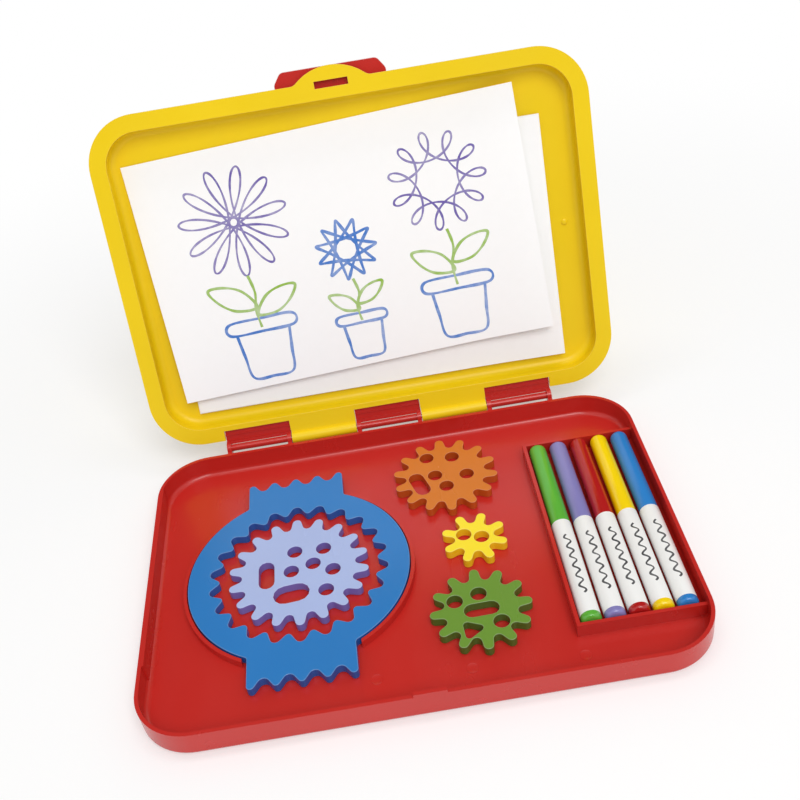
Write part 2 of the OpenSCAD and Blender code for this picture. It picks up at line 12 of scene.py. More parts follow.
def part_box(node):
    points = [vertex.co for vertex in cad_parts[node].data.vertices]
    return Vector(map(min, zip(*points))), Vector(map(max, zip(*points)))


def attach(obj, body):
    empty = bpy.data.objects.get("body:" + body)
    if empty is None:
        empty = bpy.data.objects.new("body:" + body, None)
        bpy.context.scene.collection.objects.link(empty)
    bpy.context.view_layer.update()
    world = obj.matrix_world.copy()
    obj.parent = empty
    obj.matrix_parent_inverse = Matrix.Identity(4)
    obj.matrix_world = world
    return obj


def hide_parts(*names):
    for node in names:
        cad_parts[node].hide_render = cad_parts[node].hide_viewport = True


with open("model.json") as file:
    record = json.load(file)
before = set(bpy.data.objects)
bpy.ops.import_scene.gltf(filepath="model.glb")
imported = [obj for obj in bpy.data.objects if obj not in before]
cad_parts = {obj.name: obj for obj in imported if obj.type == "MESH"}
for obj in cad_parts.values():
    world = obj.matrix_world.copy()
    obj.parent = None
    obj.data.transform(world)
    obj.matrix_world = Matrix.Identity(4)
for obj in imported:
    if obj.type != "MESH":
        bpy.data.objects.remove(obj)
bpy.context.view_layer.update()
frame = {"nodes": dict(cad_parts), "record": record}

bl_info = {
    "name": "Gear drawing toy",
    "version": (1, 0, 0),
    "blender": (4, 5, 0),
    "location": "View3D > Sidebar > Drawing toy",
    "description": "Dresses the packed gear drawing toy and sets its studio",
    "category": "Object",
}

RECORD = frame["record"]
MARKERS = ("green", "lavender", "red", "yellow", "blue")
MM = 0.001


def colour(code):
    """Linear colour of a six-digit screen colour."""
    parts = [int(code[i:i + 2], 16) / 255 for i in (0, 2, 4)]
    return tuple(p / 12.92 if p <= 0.04045 else ((p + 0.055) / 1.055) ** 2.4 for p in parts)


def tint(name, code):
    """Colour that a user may change."""
    return FloatVectorProperty(
        name=name,
        description=f"Colour of the {name.lower()}",
        subtype="COLOR",
        size=3,
        min=0,
        max=1,
        default=colour(code),
    )


def length(name, description, mm):
    """Length that a user may change, given in millimetres."""
    return FloatProperty(name=name, description=description, unit="LENGTH", min=0, default=mm * MM)


class CaseLook(bpy.types.PropertyGroup):
    """Finish of the tray, the lid and their metal."""

    tray: tint("Tray", "c62922")
    lid: tint("Lid", "f5d214")
    steel: tint("Steel pins", "b4b6b8")
    edge: length("Edge", "Width of the soft edge on the case's mouldings", 0.45)
    roughness: FloatProperty(
        name="Roughness",
        description="Roughness of the tray's plastic",
        min=0,
        max=1,
        default=0.22,
    )


class WheelLook(bpy.types.PropertyGroup):
    """Finish of the ring frame and of the wheels: their tops, with painted light, and their sides, with
    painted shade.
    """

    ring_frame: tint("Ring frame", "2f7cc2")
    large_wheel: tint("Large wheel", "abbbe6")
    medium_wheel: tint("Medium wheel", "d4761a")
    small_wheel: tint("Small wheel", "fbe22e")
    front_wheel: tint("Front wheel", "6e9738")
    # The side tones are darker than the tops: painted shade on the sides of one plastic.
    ring_frame_side: tint("Ring frame's shaded sides", "2060b4")
    large_wheel_side: tint("Large wheel's shaded sides", "7c76c6")
    medium_wheel_side: tint("Medium wheel's shaded sides", "c0581c")
    small_wheel_side: tint("Small wheel's shaded sides", "f6cf20")
    front_wheel_side: tint("Front wheel's shaded sides", "4e7228")
    edge: length("Edge", "Width of the soft edge on ring and wheels", 0.4)


class MarkerLook(bpy.types.PropertyGroup):
    """Finish of the five felt markers."""

    green: tint("Green marker", "5fb43c")
    lavender: tint("Lavender marker", "8782be")
    red: tint("Red marker", "b41919")
    yellow: tint("Yellow marker", "fad700")
    blue: tint("Blue marker", "2d82cd")
    barrel: tint("Barrels", "f4f4f2")
    print: tint("Barrel print", "36363a")
    sides: IntProperty(name="Sides", description="Facets round a marker", min=16, max=96, default=56)


class PaperLook(bpy.types.PropertyGroup):
    """Paper and the lines drawn on it."""

    paper: tint("Paper", "fdfdfc")
    violet: tint("Violet ink", "6a5aa8")
    green: tint("Green ink", "8fb93a")
    blue: tint("Blue ink", "3f78c8")
    curl: length("Curl", "How far the pile leans and curls off the lid", 2.8)
    lift: length("Lift", "How far the top sheet leans and curls off the pile", 5)
    line: length("Line", "Width of a felt line", 1.35)


class StageLook(bpy.types.PropertyGroup):
    """Camera, floor and light."""

    camera_place: FloatVectorProperty(
        name="Camera place",
        description="Where the camera stands",
        subtype="TRANSLATION",
        unit="LENGTH",
        size=3,
        default=(9.757 * MM, -445.698 * MM, 470.437 * MM),
    )
    tilt: FloatProperty(
        name="Tilt",
        description="How far the camera looks down",
        subtype="ANGLE",
        default=math.radians(37.7525),
    )
    roll: FloatProperty(
        name="Roll",
        description="How far the camera is rolled to the right",
        subtype="ANGLE",
        default=math.radians(9.5388),
    )
    lens: FloatProperty(
        name="Lens",
        description="Focal length in mm on a 36 mm sensor",
        min=10,
        default=46.79,
    )
    floor: tint("Floor", "fdfdfd")
    glow: FloatProperty(
        name="Glow",
        description="Share of plain white in the floor by the object, to the camera and reflections",
        min=0,
        max=1,
        default=0.3,
    )
    sky: FloatProperty(
        name="Sky",
        description="Strength of the even light all round",
        min=0,
        default=0.45,
    )
    key: FloatProperty(
        name="Key",
        description="Power of the softbox behind the camera",
        unit="POWER",
        min=0,
        default=84,
    )
    top: FloatProperty(
        name="Top",
        description="Power of the strip light overhead",
        unit="POWER",
        min=0,
        default=18,
    )


# Small helpers for the frame

def joint_named(name):
    """Record of a joint."""
    return next(j for j in RECORD["behaviour"]["joints"] if j["name"] == name)


def body_of(node):
    """Name of the body that holds a CAD node."""
    return next(b for b, nodes in RECORD["behaviour"]["bodies"].items() if node in nodes)


def slot_of(node):
    """Name of the material slot of a CAD node."""
    return next(s["material_slot"] for s in RECORD["subparts"] if s["node"] == node)


def lid_opening():
    """Matrix that carries a point of the shut lid to where the open lid has it."""
    hinge = joint_named("lid_hinge")
    pivot = Vector(hinge["pos_m"])
    turn = Matrix.Rotation(-math.radians(hinge["range_deg"][0]), 4, Vector(hinge["axis"]))
    return Matrix.Translation(pivot) @ turn @ Matrix.Translation(-pivot)


def height_at(node, x, y):
    """Height in mm of a CAD node's upper surface over a place in mm."""
    bm = bmesh.new()
    bm.from_mesh(frame["nodes"][node].data)
    surface = BVHTree.FromBMesh(bm)
    bm.free()
    hit = surface.ray_cast(Vector((x * MM, y * MM, 1)), Vector((0, 0, -1)))
    return hit[0].z / MM


# Node groups and materials

def add_node(tree, kind, x, y, **values):
    """New node with its settings, at a place in the node editor."""
    node = tree.nodes.new(kind)
    node.location = (x, y)
    for key, value in values.items():
        setattr(node, key, value)
    return node


def new_group(name, inputs, outputs):
    """Empty shader group with float and colour sockets, and its two end nodes."""
    tree = bpy.data.node_groups.new(name, "ShaderNodeTree")
    for label, value in inputs.items():
        kind = "NodeSocketColor" if isinstance(value, tuple) else "NodeSocketFloat"
        socket = tree.interface.new_socket(label, in_out="INPUT", socket_type=kind)
        socket.default_value = value
    for label in outputs:
        kind = "NodeSocketColor" if label == "Colour" else "NodeSocketFloat"
        tree.interface.new_socket(label, in_out="OUTPUT", socket_type=kind)
    start = add_node(tree, "NodeGroupInput", -900, 0)
    end = add_node(tree, "NodeGroupOutput", 900, 0)
    return tree, start, end


def noise_on(tree, coords, scale, detail, x, y, stretch=None):
    """Noise on the piece's own coordinates, stretched if asked."""
    texture = add_node(tree, "ShaderNodeTexNoise", x, y)
    texture.inputs["Scale"].default_value = scale
    texture.inputs["Detail"].default_value = detail
    source = coords
    if stretch:
        mapping = add_node(tree, "ShaderNodeMapping", x - 200, y)
        mapping.inputs["Scale"].default_value = stretch
        tree.links.new(coords, mapping.inputs["Vector"])
        source = mapping.outputs["Vector"]
    tree.links.new(source, texture.inputs["Vector"])
    return texture.outputs["Fac"]


def spread(tree, value, low, high, x, y):
    """Maps the middle of a noise to a range, whose ends may be sockets."""
    node = add_node(tree, "ShaderNodeMapRange", x, y)
    node.inputs["From Min"].default_value = 0.3
    node.inputs["From Max"].default_value = 0.7
    tree.links.new(value, node.inputs["Value"])
    for label, end in (("To Min", low), ("To Max", high)):
        if isinstance(end, (int, float)):
            node.inputs[label].default_value = end
        else:
            tree.links.new(end, node.inputs[label])
    return node.outputs["Result"]


def calc(tree, operation, a, b, x, y):
    """One sum on two values or sockets."""
    node = add_node(tree, "ShaderNodeMath", x, y, operation=operation)
    for place, value in enumerate((a, b)):
        if isinstance(value, (int, float)):
            node.inputs[place].default_value = value
        else:
            tree.links.new(value, node.inputs[place])
    return node.outputs["Value"]


def blended(tree, factor, a, b, x, y, mode="MIX"):
    """Mix of two colours, given as sockets or as values."""
    node = add_node(tree, "ShaderNodeMix", x, y, data_type="RGBA", blend_type=mode)
    ends = {"Factor": factor, "A": a, "B": b}
    for socket in node.inputs:
        if not socket.enabled or socket.name not in ends:
            continue
        value = ends[socket.name]
        if isinstance(value, (int, float, tuple)):
            socket.default_value = value
        else:
            tree.links.new(value, socket)
    return next(s for s in node.outputs if s.enabled)


def moulded_group():
    """Injection-moulded plastic: flow marks, soft edges paled as wear and painted highlight, painted light
    on level tops, fine grain and handling scuffs.
    """
    tree, start, end = new_group(
        "moulded plastic",
        {
            "Colour": (0.5, 0.5, 0.5, 1),
            "Top Colour": (0.5, 0.5, 0.5, 1),
            "Top": 0.0,
            "Flow": 0.1,
            "Edge": 0.15,
            "Roughness": 0.35,
            "Scuffs": 0.1,
        },
        ["Colour", "Roughness", "Height"],
    )
    link = tree.links.new
    coords = add_node(tree, "ShaderNodeTexCoord", -900, -300).outputs["Object"]
    # Upward faces take the lighter top tone: painted light on the tops, painted shade on the sides.
    level = add_node(tree, "ShaderNodeAttribute", -900, 600, attribute_name="lit_top").outputs["Fac"]
    lit_top_amount = calc(tree, "MULTIPLY", level, start.outputs["Top"], -700, 500)
    tone = blended(tree, lit_top_amount, start.outputs["Colour"], start.outputs["Top Colour"], -600, 100)
    flow = spread(tree, noise_on(tree, coords, 14, 3, -600, 300), 0, 1, -400, 300)
    darker = blended(tree, 1.0, tone, (0.82, 0.8, 0.8, 1), -400, 100, "MULTIPLY")
    flow_amount = calc(tree, "MULTIPLY", flow, start.outputs["Flow"], -200, 300)
    flowed = blended(tree, flow_amount, tone, darker, 0, 200)
    # Bevel faces are paled toward white: partly wear, partly a painted highlight.
    wear_and_highlight = add_node(tree, "ShaderNodeAttribute", -600, 600, attribute_name="worn_and_highlit_edge").outputs["Fac"]
    wear_and_highlight_amount = calc(tree, "MULTIPLY", wear_and_highlight, start.outputs["Edge"], -200, 600)
    paler_wear_and_highlight = blended(tree, wear_and_highlight_amount, flowed, (1, 1, 1, 1), 300, 200)
    link(paler_wear_and_highlight, end.inputs["Colour"])
    scuff = spread(tree, noise_on(tree, coords, 60, 6, -600, -300, (1, 0.06, 1)), 0, 1, -400, -300)
    cloud = spread(tree, noise_on(tree, coords, 22, 4, -600, -600), -0.5, 0.5, -400, -600)
    marks = calc(tree, "ADD", scuff, cloud, -200, -400)
    rub = calc(tree, "MULTIPLY", marks, start.outputs["Scuffs"], 0, -400)
    rough = calc(tree, "ADD", start.outputs["Roughness"], rub, 200, -400)
    link(rough, end.inputs["Roughness"])
    link(noise_on(tree, coords, 1400, 2, -600, -900), end.inputs["Height"])
    return tree


def paper_group():
    """Drawing paper: cloudy formation and short fibres."""
    tree, start, end = new_group(
        "paper fibre",
        {"Colour": (0.9, 0.9, 0.9, 1), "Cloud": 0.3},
        ["Colour", "Roughness", "Height"],
    )
    link = tree.links.new
    coords = add_node(tree, "ShaderNodeTexCoord", -900, -300).outputs["Object"]
    cloud = spread(tree, noise_on(tree, coords, 160, 5, -600, 300), 0, 1, -400, 300)
    amount = calc(tree, "MULTIPLY", cloud, start.outputs["Cloud"], -200, 300)
    shaded = blended(tree, 1.0, start.outputs["Colour"], (0.955, 0.955, 0.95, 1), -200, 100, "MULTIPLY")
    link(blended(tree, amount, start.outputs["Colour"], shaded, 0, 200), end.inputs["Colour"])
    fibres = noise_on(tree, coords, 900, 4, -600, -300, (1, 0.3, 1))
    link(spread(tree, fibres, 0.72, 0.88, -300, -300), end.inputs["Roughness"])
    link(fibres, end.inputs["Height"])
    return tree


def ink_group():
    """Felt ink on paper: fine streaks, and long stretches of more and less ink."""
    tree, start, end = new_group(
        "felt ink",
        {"Colour": (0.2, 0.2, 0.6, 1), "Streaks": 0.4},
        ["Colour", "Roughness", "Height"],
    )
    link = tree.links.new
    coords = add_node(tree, "ShaderNodeTexCoord", -900, -300).outputs["Object"]
    streak = spread(tree, noise_on(tree, coords, 260, 4, -600, 300), -0.2, 0.6, -400, 300)
    stretch = spread(tree, noise_on(tree, coords, 45, 2, -600, 600), -0.2, 0.8, -400, 600)
    both = calc(tree, "ADD", streak, stretch, -300, 450)
    amount = calc(tree, "MULTIPLY", both, start.outputs["Streaks"], -200, 300)
    thinner = blended(tree, 0.55, start.outputs["Colour"], (1, 1, 1, 1), -200, 100)
    link(blended(tree, amount, start.outputs["Colour"], thinner, 0, 200), end.inputs["Colour"])
    grain = noise_on(tree, coords, 900, 3, -600, -300)
    link(spread(tree, grain, 0.6, 0.8, -300, -300), end.inputs["Roughness"])
    link(grain, end.inputs["Height"])
    return tree


def drawn_group():
    """Drawn steel wire: fine lines along X and a few dull spots."""
    tree, start, end = new_group(
        "drawn steel",
        {"Colour": (0.6, 0.6, 0.6, 1), "Roughness": 0.3},
        ["Colour", "Roughness", "Height"],
    )
    link = tree.links.new
    coords = add_node(tree, "ShaderNodeTexCoord", -900, -300).outputs["Object"]
    lines = noise_on(tree, coords, 1600, 3, -600, 300, (0.02, 1, 1))
    darker = blended(tree, 1.0, start.outputs["Colour"], (0.7, 0.7, 0.72, 1), -200, 100, "MULTIPLY")
    lined = blended(tree, spread(tree, lines, 0, 0.6, -300, 300), start.outputs["Colour"], darker, 0, 200)
    link(lined, end.inputs["Colour"])
    dull = spread(tree, noise_on(tree, coords, 90, 3, -600, -300), -0.05, 0.12, -300, -300)
    link(calc(tree, "ADD", start.outputs["Roughness"], dull, 0, -300), end.inputs["Roughness"])
    link(lines, end.inputs["Height"])
    return tree


GROUP_MAKERS = {
    "moulded plastic": moulded_group,
    "paper fibre": paper_group,
    "felt ink": ink_group,
    "drawn steel": drawn_group,
}


def finish_of(name, group, tone, values, bump, shader=None):
    """Material from a shared group, with the strength of its relief and its height in metres as bump."""
    material = bpy.data.materials.get(name)
    if material:
        return material
    material = bpy.data.materials.new(name)
    material.use_nodes = True
    tree = material.node_tree
    surface = tree.nodes["Principled BSDF"]
    effect = add_node(tree, "ShaderNodeGroup", -500, 200)
    effect.node_tree = bpy.data.node_groups.get(group) or GROUP_MAKERS[group]()
    effect.inputs["Colour"].default_value = (*tone, 1)
    for label, value in values.items():
        effect.inputs[label].default_value = value
    relief = add_node(tree, "ShaderNodeBump", -250, -200)
    relief.inputs["Strength"].default_value = bump[0]
    relief.inputs["Distance"].default_value = bump[1]
    tree.links.new(effect.outputs["Colour"], surface.inputs["Base Color"])
    tree.links.new(effect.outputs["Roughness"], surface.inputs["Roughness"])
    tree.links.new(effect.outputs["Height"], relief.inputs["Height"])
    tree.links.new(relief.outputs["Normal"], surface.inputs["Normal"])
    for label, value in (shader or {}).items():
        surface.inputs[label].default_value = value
    material.diffuse_color = (*tone, 1)
    return material


def plastic(name, tone, roughness=0.22, edge=0.1, flow=0.3, scuffs=0.05, top=None, shine=0.36):
    """Moulded plastic of one colour, or with a lighter tone painted as light on its level top, over a side
    tone in painted shade.
    """
    values = {"Flow": flow, "Edge": edge, "Roughness": roughness, "Scuffs": scuffs}
    if top:
        values["Top"] = 1.0
        values["Top Colour"] = (*top, 1)
    shader = {"Specular IOR Level": shine}
    return finish_of(name, "moulded plastic", tone, values, (0.12, 0.00004), shader)


# Mesh helpers

def settle(piece, node, material):
    """Puts a finished piece in the place of a CAD node."""
    piece.data.materials.clear()
    piece.data.materials.append(material)
    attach(piece, body_of(node))
    return piece


def settle_node(node, material):
    """Gives a CAD node that stays a finish of its own."""
    mesh = frame["nodes"][node].data
    mesh.materials.clear()
    mesh.materials.append(material)


def verts_in(made):
    """Vertices that an extrusion made."""
    return [v for v in made["geom"] if isinstance(v, bmesh.types.BMVert)]


def piece_from(bm, name):
    """Object made from a bmesh, at the origin."""
    mesh = bpy.data.meshes.new(name)
    bm.to_mesh(mesh)
    bm.free()
    piece = bpy.data.objects.new(name, mesh)
    bpy.context.collection.objects.link(piece)
    return piece


def shade_soft(bm, limit):
    """Smooth shading that breaks at edges sharper than the limit."""
    for face in bm.faces:
        face.smooth = True
    for edge in bm.edges:
        if len(edge.link_faces) == 2:
            edge.smooth = edge.calc_face_angle(0) < limit


def weigh_normals(piece):
    """Keeps the large flat faces flat beside their soft edges."""
    weights = piece.modifiers.new("flat faces", "WEIGHTED_NORMAL")
    weights.keep_sharp = True
    weights.weight = 80


def softened(node, name, width, steps=3):
    """Copy of a CAD node with rounded outer edges, marked for paler wear and painted highlight, and with
    its upward faces marked for painted top light.
    """
    sharp = math.radians(40)
    bm = bmesh.new()
    bm.from_mesh(frame["nodes"][node].data)
    bmesh.ops.remove_doubles(bm, verts=bm.verts, dist=0.002 * MM)
    bmesh.ops.dissolve_limit(bm, angle_limit=math.radians(0.5), verts=bm.verts, edges=bm.edges)
    # Bevel faces are marked for the paler edge tone: wear and a painted highlight.
    wear_and_highlight = bm.faces.layers.float.new("worn_and_highlit_edge")
    edges = [
        e for e in bm.edges
        if len(e.link_faces) == 2 and e.is_convex and e.calc_face_angle(0) > sharp
    ]
    made = bmesh.ops.bevel(
        bm, geom=edges, offset=width, offset_type="OFFSET", segments=steps, profile=0.5,
        affect="EDGES", clamp_overlap=True, material=-1,
    )
    for face in made["faces"]:
        face[wear_and_highlight] = 1
    # Upward faces and upper bevels are marked for the lighter top tone, which is painted light.
    level = bm.faces.layers.float.new("lit_top")
    for face in bm.faces:
        face[level] = 1 if face.normal.z > 0.3 else 0
    shade_soft(bm, sharp)
    piece = piece_from(bm, name)
    weigh_normals(piece)
    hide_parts(node)
    return piece


def spun(profile, place, name, sides):
    """Turned piece along Y: a profile of radius and length in mm, spun about the axis through place."""
    bm = bmesh.new()
    ring = [bm.verts.new(place + Vector((r * MM, along * MM, 0))) for r, along in profile]
    chain = [bm.edges.new((a, b)) for a, b in zip(ring, ring[1:] + ring[:1])]
    bmesh.ops.spin(
        bm, geom=ring + chain, cent=place, axis=(0, 1, 0), dvec=(0, 0, 0), angle=math.tau,
        steps=sides, use_merge=True, use_normal_flip=False, use_duplicate=False,
    )
    bmesh.ops.remove_doubles(bm, verts=bm.verts, dist=0.002 * MM)
    bmesh.ops.dissolve_degenerate(bm, edges=bm.edges, dist=0.001 * MM)
    bmesh.ops.recalc_face_normals(bm, faces=bm.faces)
    shade_soft(bm, math.radians(35))
    return piece_from(bm, name)


def quarter(centre, radius, start, end, steps=6):
    """Points on an arc of a profile, angles in degrees from the radius towards the length."""
    angles = [math.radians(start + (end - start) * i / steps) for i in range(steps + 1)]
    return [(centre[0] + radius * math.cos(a), centre[1] + radius * math.sin(a)) for a in angles]


def inked(name, strokes, width, place):
    """Piece made of flat drawn lines, each point carried to its surface by place(u, v, up)."""
    curve = bpy.data.curves.new(name + "_path", "CURVE")
    curve.dimensions = "3D"
    curve.bevel_depth = width / 2
    curve.bevel_resolution = 1
    curve.use_fill_caps = True
    for path, closed in strokes:
        spline = curve.splines.new("POLY")
        spline.points.add(len(path) - 1)
        spline.use_cyclic_u = closed
        for i, (u, v) in enumerate(path):
            spline.points[i].co = (u, v, 0, 1)
            spline.points[i].radius = 1 + 0.14 * math.sin(i * 0.21) + 0.08 * math.sin(i * 0.57 + 1)
    holder = bpy.data.objects.new(name + "_holder", curve)
    bm = bmesh.new()
    bm.from_mesh(bpy.data.meshes.new_from_object(holder))
    bpy.data.objects.remove(holder)
    bpy.data.curves.remove(curve)
    for vert in bm.verts:
        vert.co = place(*vert.co)
    bmesh.ops.recalc_face_normals(bm, faces=bm.faces)
    shade_soft(bm, math.radians(60))
    return piece_from(bm, name)


# Case

# Places of the ejector marks on the tray's floor, in mm
EJECTORS = ((-28.1, -86.3), (24.5, -89.3), (86.5, -92.8))
# Radius and height of an ejector mark, and the width and depth of its lip, in mm
EJECTOR_R = 3.4
EJECTOR_H = 0.2
EJECTOR_LIP = 0.45
EJECTOR_SINK = 0.12
# Place of the pip on the shut lid's floor and its radius in mm, and its height as a share of the radius
PIP = (138, 2.3, 29.2)
PIP_R = 2.3
PIP_SHARE = 0.45
# Width of the soft edge on the two steel pins, in mm
HINGE_PIN_EDGE = 0.3
LATCH_PIN_EDGE = 0.2
# How much rougher the lid's plastic is than the tray's
LID_DULLER = 0.08


class MakeCase(bpy.types.Operator):
    """Dress the red tray, its latch plate and the steel pins"""

    bl_idname = "drawing_toy.case"
    bl_label = "Case"

    def execute(self, context):
        look = context.scene.toy_case
        # The tray's edge share pales its bevelled rims: wear and a painted highlight.
        red = plastic("tray red", look.tray, look.roughness, edge=0.3, shine=0.5)
        settle(softened("base_tray", "tray_moulding", look.edge), "base_tray", red)
        settle(softened("front_latch", "latch_plate", look.edge), "front_latch", red)
        for i, (x, y) in enumerate(EJECTORS):
            settle(self.ejector(f"ejector_mark_{i + 1}", x, y), "base_tray", red)
        wire = {"Roughness": 0.3}
        steel = finish_of("drawn wire", "drawn steel", look.steel, wire, (0.2, 0.00002), {"Metallic": 1.0})
        settle(softened("hinge_pin", "hinge_wire", HINGE_PIN_EDGE * MM), "hinge_pin", steel)
        settle(softened("latch_pin", "latch_wire", LATCH_PIN_EDGE * MM), "latch_pin", steel)
        return {"FINISHED"}

    def ejector(self, name, x, y):
        """Round mark that an ejector pin left on the tray's floor, with its fine raised lip."""
        bm = bmesh.new()
        place = Matrix.Translation(Vector((x, y, height_at("base_tray", x, y))) * MM)
        bmesh.ops.create_circle(bm, cap_ends=True, segments=40, radius=EJECTOR_R * MM, matrix=place)
        made = bmesh.ops.extrude_face_region(bm, geom=bm.faces[:])
        bmesh.ops.translate(bm, verts=verts_in(made), vec=(0, 0, EJECTOR_H * MM))
        crown = max(bm.faces, key=lambda face: face.calc_center_median().z)
        bmesh.ops.inset_region(bm, faces=[crown], thickness=EJECTOR_LIP * MM, depth=-EJECTOR_SINK * MM)
        bmesh.ops.recalc_face_normals(bm, faces=bm.faces)
        shade_soft(bm, math.radians(30))
        return piece_from(bm, name)


class MakeLid(bpy.types.Operator):
    """Dress the yellow lid"""

    bl_idname = "drawing_toy.lid"
    bl_label = "Lid"

    def execute(self, context):
        look = context.scene.toy_case
        roughness = look.roughness + LID_DULLER
        # The lid's edge share pales its bevels: wear and a painted highlight.
        yellow = plastic("lid yellow", look.lid, roughness, edge=0.12, shine=0.28)
        settle(softened("lid", "lid_moulding", look.edge), "lid", yellow)
        settle(self.pip(), "lid", yellow)
        return {"FINISHED"}

    def pip(self):
        """Low round pip moulded on the lid's floor beside the sheets."""
        bm = bmesh.new()
        bmesh.ops.create_uvsphere(bm, u_segments=28, v_segments=14, radius=PIP_R * MM)
        bmesh.ops.scale(bm, vec=(1, 1, PIP_SHARE), verts=bm.verts)
        bmesh.ops.translate(bm, vec=Vector(PIP) * MM, verts=bm.verts)
        bmesh.ops.transform(bm, matrix=lid_opening(), verts=bm.verts)
        shade_soft(bm, math.radians(60))
        return piece_from(bm, "lid_pip")


class MakeWheels(bpy.types.Operator):
    """Dress the toothed ring frame and the four wheels"""

    bl_idname = "drawing_toy.wheels"
    bl_label = "Ring and wheels"

    def execute(self, context):
        look = context.scene.toy_wheels
        for node in ("ring_frame", "large_wheel", "medium_wheel", "small_wheel", "front_wheel"):
            # Sides take the darker tone as painted shade and level tops the lighter one as painted light;
            # edges pale as wear and painted highlight.
            shaded_tone = getattr(look, node + "_side")
            finish = plastic(slot_of(node).replace("_", " "), shaded_tone, edge=0.08, top=getattr(look, node))
            settle(softened(node, node + "_moulding", look.edge), node, finish)
        return {"FINISHED"}


# Markers

# Share of a drawn line's round section that is left as its height
INK_SHARE = 0.04
# Wave printed on a barrel: its start from the barrel's back, step, height, line and lift, in mm
PRINT_START = 13
PRINT_STEP = 0.5
PRINT_HEIGHT = 1.6
PRINT_LINE = 1.15
PRINT_LIFT = 0.03
# Number of points on the printed wave, and its turn from one to the next, in radians
PRINT_POINTS = 93
PRINT_TURN = 0.41


class MakeMarkers(bpy.types.Operator):
    """Turn the caps, barrels and plugs of the felt markers"""

    bl_idname = "drawing_toy.markers"
    bl_label = "Markers"

    def execute(self, context):
        look = context.scene.toy_markers
        white = plastic("marker white", look.barrel, 0.28, edge=0, flow=0.15)
        ink = finish_of("barrel ink", "felt ink", look.print, {"Streaks": 0.15}, (0.1, 0.00002))
        for name in MARKERS:
            tone = getattr(look, name)
            finish = plastic(f"{name} marker", tone, 0.14, edge=0, flow=0.2, shine=0.6)
            felt = finish_of(f"{name} felt", "felt ink", tone, {"Streaks": 0.3}, (0.3, 0.00005))
            for part, finish_here in (("cap", finish), ("barrel", white), ("plug", finish)):
                node = f"{name}_marker_{part}"
                piece = spun(getattr(self, part)(node), self.axis(name), f"{name}_{part}", look.sides)
                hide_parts(node)
                settle(piece, node, finish_here)
            for part in ("nib", "wick"):
                settle_node(f"{name}_marker_{part}", felt)
            settle(self.printed(name), f"{name}_marker_barrel", ink)
        return {"FINISHED"}

    def printed(self, name):
        """Plain wavy line printed along the top of a barrel."""
        radius, back = self.reach(f"{name}_marker_barrel")[:2]
        axis = self.axis(name)
        path = [
            (back + PRINT_START + PRINT_STEP * i, PRINT_HEIGHT * math.sin(PRINT_TURN * i))
            for i in range(PRINT_POINTS)
        ]

        def on_barrel(u, v, up):
            out = radius + PRINT_LIFT + up * INK_SHARE
            return axis + Vector((out * math.sin(v / radius), u, out * math.cos(v / radius))) * MM

        return inked(f"{name}_print", [(path, False)], PRINT_LINE, on_barrel)

    def axis(self, name):
        """Point on a marker's axis at its plug end."""
        low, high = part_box(f"{name}_marker_plug")
        return Vector(((low[0] + high[0]) / 2, low[1], (low[2] + high[2]) / 2))

    def reach(self, node):
        """Radius of a piece, and where it begins and ends along its marker, in mm."""
        low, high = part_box(node)
        start = self.axis(node.split("_marker_")[0]).y
        return (high[0] - low[0]) / 2 / MM, (low[1] - start) / MM, (high[1] - start) / MM

    def cap(self, node):
        """Tapered cap with a round end and a hollow for the nose."""
        radius, mouth, top = self.reach(node)
        taper, round_end, lip, hollow, solid_end = 0.25, 4, 0.35, 4.55, 14
        depth = top - mouth - solid_end
        end = radius - taper
        outer = quarter((radius - lip, mouth + lip), lip, -90, 0, 4)
        outer += quarter((end - round_end, top - round_end), round_end, 0, 90, 10)
        return outer + [(0, top), (0, mouth + depth), (hollow, mouth + depth), (hollow, mouth)]

    def barrel(self, node):
        """Barrel with soft shoulders, its nose and its bore."""
        radius, back, tip = self.reach(node)
        soft, nose, cone_l, nose_l = 0.4, 4.5, 10, 16
        nose_end, nib_bore, nose_bore, bore, wall = 3.2, 2.06, 3.78, 4.64, 2
        shoulder = tip - cone_l - nose_l
        outer = quarter((radius - soft, back + soft), soft, -90, 0, 4)
        outer += quarter((radius - soft, shoulder - soft), soft, 0, 90, 4)
        cone, inside = tip - cone_l, shoulder - wall
        outer += [(nose, shoulder), (nose, cone), (nose_end, tip), (nib_bore, tip), (nib_bore, cone)]
        return outer + [(nose_bore, cone), (nose_bore, inside), (bore, inside), (bore, back)]

    def plug(self, node):
        """Plug with a domed end and the spigot that holds it in the barrel."""
        radius, back, inside = self.reach(node)
        dome, soft, spigot, spigot_l = 2.2, 0.3, 4.58, 6
        face = inside - spigot_l
        outer = [(0, back)] + quarter((radius - dome, back + dome), dome, -90, 0, 8)
        outer += quarter((radius - soft, face - soft), soft, 0, 90, 4)
        return outer + [(spigot, face), (spigot, inside), (0, inside)]


# Paper

# Size of all sheets in mm, and the number of cells that they are bent by
SHEET_W = 256
SHEET_D = 162
SHEET_CELLS = (64, 40)
# Drawing sheet on the floor of the shut lid: its middle, turn in degrees, face and thickness, in mm
SHEET_PLACE = (-10.9, -5.5)
SHEET_TURN = -2.9
SHEET_FACE = 28.1
SHEET_T = 0.25
# Spare sheets: their middle, the face of the top one, their thickness and their spacing, in mm
SPARE_PLACE = (0, 10.8)
SPARE_FACE = 28.5
SPARE_T = 0.14
SPARE_STEP = 0.2
# Shift in mm and turn in radians of each spare sheet from the top one down, and how much flatter it lies
SPARE_LAYERS = (((0, 0), 0), ((-0.9, 0.5), 0.002), ((0.3, -0.7), -0.003))
SPARE_FLATTER = 0.22
